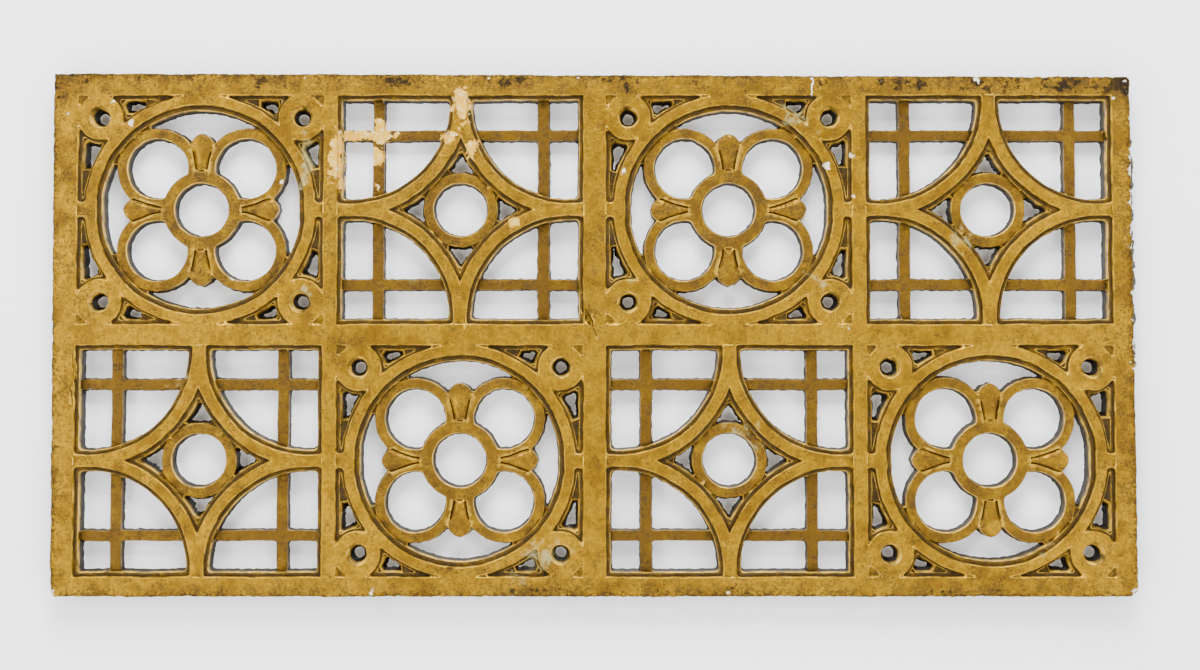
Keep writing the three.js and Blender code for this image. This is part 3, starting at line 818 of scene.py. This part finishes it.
def group(name, inputs, outputs):
    """A shader node group with named sockets. Returns the group, its nodes, and its input and output
    sockets."""
    made = bpy.data.node_groups.new(name, "ShaderNodeTree")
    for key, kind, value in inputs:
        socket = made.interface.new_socket(key, in_out="INPUT", socket_type="NodeSocket" + kind)
        if value is not None:
            socket.default_value = value
    for key, kind in outputs:
        made.interface.new_socket(key, in_out="OUTPUT", socket_type="NodeSocket" + kind)
    nodes = Nodes(made)
    start, end = made.nodes.new("NodeGroupInput"), made.nodes.new("NodeGroupOutput")
    return made, nodes, start.outputs, end.inputs


def speckle_group():
    """Dark specks and pits: two sizes of noise, cut so that a share of the surface is covered, and
    clustered by the wide one."""
    made, n, given, out = group(
        "speckle",
        [("Place", "Vector", None), ("Cover", "Float", 0.3), ("Softness", "Float", 0.08)],
        [("Mask", "Float")],
    )
    fine = n.noise(given["Place"], 0.0045, 4.0, 0.62)
    wide = n.noise(given["Place"], 0.028, 3.0, 0.6)
    both = n.plus(n.times(fine, 0.62), n.times(wide, 0.38))
    low = n.span(given["Cover"], 0.59, 0.4)
    high = n.plus(low, given["Softness"])
    n.join(n.fit(both, low, high, smooth=True), out["Mask"])
    return made


def ragged_group():
    """Turns a soft place value into a mask with a broken edge: noise of two sizes is added, then it is
    cut sharply."""
    made, n, given, out = group(
        "ragged_patch",
        [("Place", "Vector", None), ("Value", "Float", 0.0), ("Ragged", "Float", 0.5), ("Edge", "Float", 0.04)],
        [("Mask", "Float")],
    )
    coarse = n.noise(given["Place"], 0.011, 2.0, 0.5)
    fine = n.noise(given["Place"], 0.0028, 3.0, 0.6)
    stir = n.plus(n.times(coarse, 0.7), n.times(fine, 0.3))
    stir = n.times(n.minus(stir, 0.5), n.times(given["Ragged"], 2.0))
    total = n.plus(given["Value"], stir)
    n.join(n.fit(total, 0.5, n.plus(given["Edge"], 0.5), smooth=True), out["Mask"])
    return made


def crack_group():
    """A thin crack down the face: near one line in x that noise bends, between two heights."""
    made, n, given, out = group(
        "crack",
        [("Place", "Vector", None), ("X", "Float", 0.0), ("Low", "Float", 0.0), ("High", "Float", 0.0),
         ("Half Width", "Float", 0.0004)],
        [("Mask", "Float")],
    )
    part = n.node("SeparateXYZ", {0: given["Place"]})
    bend = n.times(n.minus(n.noise(given["Place"], 0.009, 3.0), 0.5), 0.010)
    away = n.calc("ABSOLUTE", n.minus(n.plus(part.outputs["X"], bend), given["X"]))
    near = n.calc("LESS_THAN", away, given["Half Width"])
    above = n.calc("GREATER_THAN", part.outputs["Z"], given["Low"])
    below = n.calc("LESS_THAN", part.outputs["Z"], given["High"])
    n.join(n.times(near, n.times(above, below)), out["Mask"])
    return made


SPECKLE, RAGGED, CRACK = speckle_group(), ragged_group(), crack_group()


def placed(n, tree, **values):
    """Puts a group into a material and gives its inputs their values. Returns its first output."""
    given = {key.replace("_", " "): value for key, value in values.items()}
    return n.node("Group", given, node_tree=tree).outputs[0]


def gilded_paint():
    """Worn bronze-gold paint: mottled gold, browner in the sunk orders and ledges, partly as painted shade, rubbed
    bright with a painted highlight on the arrises, dark in the grooves and down the walls as grime and painted
    shade, with soot, green bloom, cream flakes and white chips."""
    made = plain("gilded_paint", (0.5, 0.3, 0.06), 0.45)
    n = Nodes(made.node_tree)
    shader = made.node_tree.nodes["Principled BSDF"]
    place = n.node("TexCoord").outputs["Object"]
    behind = n.node("SeparateXYZ", {0: place}).outputs["Y"]
    wedge = n.value("wedge")
    arris = n.minus(n.value("arris"), wedge)
    foot = n.most(n.value("foot"), wedge)
    wall, sunk = n.value("wall"), n.value("sunk")

    # mottled gold: wide clouds, patches, and a fine grain
    broad = n.fit(n.noise(place, 0.16, 4.0, 0.6), 0.38, 0.62)
    patch = n.fit(n.noise(place, 0.022, 5.0, 0.66), 0.4, 0.62)
    grain = n.fit(n.noise(place, 0.0042, 5.0, 0.72), 0.36, 0.64)
    colour = n.blend(broad, GOLD_DEEP, GOLD)
    colour = n.blend(n.times(patch, 0.6), colour, GOLD_LIGHT)
    colour = n.blend(n.span(grain, 0.55, 0.0), colour, BROWN)
    # the sunk orders are browner the deeper they lie, in patches, and the shoulder ledges browner with umber: partly
    # dirt, partly painted shade of the recesses and ledges
    ledge = n.value("ledge")
    lean = n.plus(n.times(n.minus(0.5, patch), 0.55), n.times(ledge, 0.5))
    brown = n.fit(n.plus(sunk, lean), 0.0, 0.92, 0.0, 0.88)
    colour = n.blend(brown, colour, BROWN)
    colour = n.blend(n.times(ledge, n.span(patch, 0.62, 0.22)), colour, UMBER)
    # soft brown mottles, then fine dark pepper, both thicker in soot, and thicker in the sunk orders and on the
    # ledges as painted shade
    darkening = n.value("soot")
    stained = n.times(n.fit(darkening, 0.05, 0.9, 0.0, 0.62), n.span(patch, 1.0, 0.5))
    colour = n.blend(stained, colour, BROWN)
    darkening = n.plus(darkening, n.times(ledge, 0.6))
    cover = n.plus(n.span(sunk, 0.46, 0.6), n.times(darkening, 0.35))
    mottle = placed(n, SPECKLE, Place=place, Cover=cover, Softness=0.2)
    colour = n.blend(n.times(mottle, 0.62), colour, BROWN)
    finer = n.node("VectorMath", {0: place, "Scale": 1.7}, operation="SCALE")
    cover = n.plus(n.span(sunk, 0.26, 0.36), n.times(darkening, 0.5))
    specks = placed(n, SPECKLE, Place=finer.outputs[0], Cover=cover, Softness=0.06)
    colour = n.blend(n.times(specks, 0.6), colour, UMBER)
    # painted shade and dirt in the grooves at each wall's foot, and walls darkened towards the back, as grime and
    # painted shade
    groove_dirt_and_shade = n.times(n.fit(foot, 0.2, 0.9), n.span(grain, 0.8, 0.35))
    colour = n.blend(groove_dirt_and_shade, colour, UMBER)
    stir = n.times(n.minus(n.noise(place, 0.008, 4.0, 0.6), 0.5), 1.1)
    grime_and_shade = n.fit(n.plus(wall, stir), 0.0, 0.22, 0.0, 0.88, smooth=True)
    grime_and_shade = n.times(grime_and_shade, n.fit(wall, 0.0, 0.12))
    colour = n.blend(grime_and_shade, colour, UMBER)
    crust_and_shade = n.fit(n.plus(wall, stir), 0.18, 0.55, 0.0, 0.97, smooth=True)
    crust_and_shade = n.times(crust_and_shade, n.fit(wall, 0.0, 0.3))
    colour = n.blend(crust_and_shade, colour, BLACK)
    # rubbed arrises, with a painted highlight along them, brightest on the front-most edges
    rub_and_highlight = n.times(n.fit(arris, 0.15, 0.7), n.fit(n.noise(place, 0.012, 3.0), 0.4, 0.56, 0.25, 1.0))
    rub_and_highlight = n.times(rub_and_highlight, n.fit(behind, -0.0145, -0.0175, 0.1, 0.85))
    colour = n.blend(rub_and_highlight, colour, RUBBED_AND_HIGHLIGHT)
    # soot and bloom
    grown = n.fit(n.value("soot"), 0.3, 1.0, 0.0, 0.9)
    soot = placed(n, RAGGED, Place=place, Value=grown, Ragged=1.8, Edge=0.4)
    crust = n.fit(n.minus(n.value("rim"), n.times(grain, 0.6)), 0.15, 0.75, 0.0, 0.85)
    soot = n.most(n.times(soot, 0.88), crust)
    colour = n.blend(soot, colour, SOOTY)
    bloom = placed(n, RAGGED, Place=place, Value=n.value("bloom"), Ragged=1.2, Edge=0.4)
    colour = n.blend(n.times(bloom, 0.5), colour, GREEN)
    # bare bedding plaster along the right edge
    lip = n.value("lip")
    colour = n.blend(n.fit(lip, 0.1, 0.4), colour, n.blend(grain, BED_DARK, BED_PALE))
    # flakes to cream, chips and cracks to white
    flake = placed(n, RAGGED, Place=place, Value=n.value("flake"), Ragged=0.95, Edge=0.03)
    gilt = n.fit(n.noise(place, 0.009, 4.0, 0.6), 0.42, 0.56)
    bare_spot = n.times(n.fit(grain, 0.7, 0.82), 0.8)
    colour = n.blend(flake, colour, n.blend(bare_spot, n.blend(gilt, CREAM_GOLD, CREAM), CHALK))
    worn = n.minus(n.value("chip"), n.times(wall, 2.5))
    chip = placed(n, RAGGED, Place=place, Value=worn, Ragged=1.1, Edge=0.08)
    for x, low, high, half in CRACKS:
        crack = placed(n, CRACK, Place=place, X=x, Low=low, High=high, Half_Width=half)
        if half > OPEN_CRACK:
            chip = n.most(chip, crack)
        else:
            colour = n.blend(n.times(crack, 0.8), colour, UMBER)
    colour = n.blend(chip, colour, CHALK)
    n.join(colour, shader.inputs["Base Color"])
    shader.inputs["Specular IOR Level"].default_value = 0.12

    bare = n.most(n.most(flake, chip), n.most(n.times(soot, 0.8), lip))
    dull = n.most(n.most(bare, grime_and_shade), n.times(specks, 0.7))
    n.join(n.span(dull, 0.85, 0.0), shader.inputs["Metallic"])
    rough = n.span(patch, 0.46, 0.33)
    n.join(n.span(dull, rough, 0.8), shader.inputs["Roughness"])

    # relief too fine for the mesh: orange peel, pits, and the step down into flakes and chips
    height = n.times(n.noise(place, 0.0075, 5.0, 0.6), 1.5)
    height = n.minus(height, n.times(specks, 0.3))
    height = n.minus(height, n.times(n.most(flake, chip), 0.5))
    n.join(n.bump(height, 0.75, 0.0013), shader.inputs["Normal"])
    return made


def bare_plaster():
    """The flat back: off-white plaster, stained, uneven and pitted."""
    made = plain("bare_plaster", (0.6, 0.55, 0.46), 0.9)
    n = Nodes(made.node_tree)
    shader = made.node_tree.nodes["Principled BSDF"]
    place = n.node("TexCoord").outputs["Object"]
    stain = n.fit(n.noise(place, 0.12, 5.0, 0.6), 0.38, 0.66)
    colour = n.blend(stain, BACK_PALE, BACK_STAIN)
    pits = placed(n, SPECKLE, Place=place, Cover=0.35, Softness=0.12)
    colour = n.blend(n.times(pits, 0.6), colour, BACK_PITS)
    n.join(colour, shader.inputs["Base Color"])
    n.join(n.span(pits, 0.82, 0.95), shader.inputs["Roughness"])
    height = n.minus(n.noise(place, 0.02, 5.0, 0.6), n.times(pits, 0.5))
    n.join(n.bump(height, 0.8, 0.0012), shader.inputs["Normal"])
    return made


# Cracks, as x, both ends' heights and half width in metres. A wider one than OPEN_CRACK shows white
CRACKS = ((0.2467, 0.2705, 0.291, 0.0008), (0.172, 0.258, 0.3, 0.00028), (-0.006, -0.01, 0.04, 0.0003),
          (-0.514, -0.232, -0.2, 0.0004), (0.121, 0.0, 0.012, 0.00025))
OPEN_CRACK = 0.0005

# The finish's colours, linear; the rubbed gold also paints highlights, and umber and black also paint shade
GOLD, GOLD_DEEP, GOLD_LIGHT = (0.35, 0.182, 0.002), (0.205, 0.1, 0.0015), (0.52, 0.29, 0.006)
BROWN, UMBER, BLACK = (0.098, 0.052, 0.009), (0.018, 0.012, 0.005), (0.002, 0.002, 0.0017)
RUBBED_AND_HIGHLIGHT, SOOTY, GREEN = (0.80, 0.49, 0.045), (0.004, 0.003, 0.002), (0.40, 0.39, 0.19)
CREAM, CREAM_GOLD, CHALK = (0.54, 0.325, 0.04), (0.50, 0.27, 0.012), (0.60, 0.55, 0.43)
BED_DARK, BED_PALE = (0.025, 0.024, 0.02), (0.13, 0.13, 0.11)
BACK_PALE, BACK_STAIN, BACK_PITS = (0.62, 0.57, 0.48), (0.40, 0.34, 0.25), (0.2, 0.16, 0.11)

casting.data.materials.append(gilded_paint())
casting.data.materials.append(bare_plaster())
slots = np.zeros(len(faces), np.int32)
slots[front_size:] = 1
casting.data.polygons.foreach_set("material_index", slots)


# Stage: pale floor, and a white board close behind, which shows only from the front and lets rear light by
def flat_sheet(name, corners, material):
    """One four-cornered face."""
    mesh = bpy.data.meshes.new(name)
    mesh.from_pydata(corners, [], [(0, 1, 2, 3)])
    mesh.materials.append(material)
    return bpy.data.objects.new(name, mesh)


FLOOR, TOP_OF_BOARD, BEHIND = -0.62, 2.2, 0.0015
white = plain("pale_floor", (0.86, 0.86, 0.86), 0.8)
paper = plain("white_board", (0.915, 0.93, 0.965), 0.9)
floor = flat_sheet("floor", [(-6, -6, FLOOR), (6, -6, FLOOR), (6, 6, FLOOR), (-6, 6, FLOOR)], white)
board = flat_sheet("board", [(-3, BEHIND, FLOOR), (3, BEHIND, FLOOR), (3, BEHIND, TOP_OF_BOARD),
                             (-3, BEHIND, TOP_OF_BOARD)], paper)
n, made = Nodes(paper.node_tree), paper.node_tree.nodes
clear = n.most(n.node("NewGeometry").outputs["Backfacing"], n.node("LightPath").outputs["Is Shadow Ray"])
window = n.node("BsdfTransparent")
mix = n.node("MixShader", {0: clear, 1: made["Principled BSDF"].outputs["BSDF"], 2: window.outputs["BSDF"]})
n.join(mix.outputs["Shader"], made["Material Output"].inputs["Surface"])
for thing in (floor, board):
    SCENE.collection.objects.link(thing)

# Light: a soft key from above the front, weaker fills from the left and right, a light from behind, and a pale
# surround
world = bpy.data.worlds.new("studio")
world.use_nodes = True
surround = world.node_tree.nodes["Background"].inputs
surround["Color"].default_value = (1, 1, 1, 1)
surround["Strength"].default_value = 0.45
SCENE.world = world


def area_light(name, place, size, power):
    """A square soft light at a place, turned to face the origin."""
    data = bpy.data.lights.new(name, "AREA")
    data.size, data.energy = size, power
    lamp = bpy.data.objects.new(name, data)
    SCENE.collection.objects.link(lamp)
    lamp.rotation_mode = "QUATERNION"
    lamp.location = place
    lamp.rotation_quaternion = Vector([0 - p for p in place]).to_track_quat("-Z", "Y")


area_light("top", (0, -1.9, 2.6), 1.6, 300)
area_light("left", (-2.3, -2.3, 0.5), 1.5, 75)
area_light("right", (2.3, -2.3, 0.5), 1.5, 55)
area_light("rear", (0, 3.2, 0.25), 1.2, 95)

# Camera: straight before the middle of the face, tipped up a little and shifted back, so the top looks narrower
FACE_DISTANCE, FACE_VIEW, TIP = 2.5, 1.3565, math.radians(3.2)
camera_data = bpy.data.cameras.new("camera")
camera_data.sensor_width = 36
camera_data.lens = 36 * FACE_DISTANCE / FACE_VIEW / math.cos(TIP)
camera_data.shift_y = -math.tan(TIP) * camera_data.lens / 36
camera = bpy.data.objects.new("camera", camera_data)
camera.location = (0.0061, -0.030 - FACE_DISTANCE, -0.0004)
camera.rotation_euler = (math.pi / 2 + TIP, 0, 0)
SCENE.collection.objects.link(camera)
bpy.context.scene.camera = camera
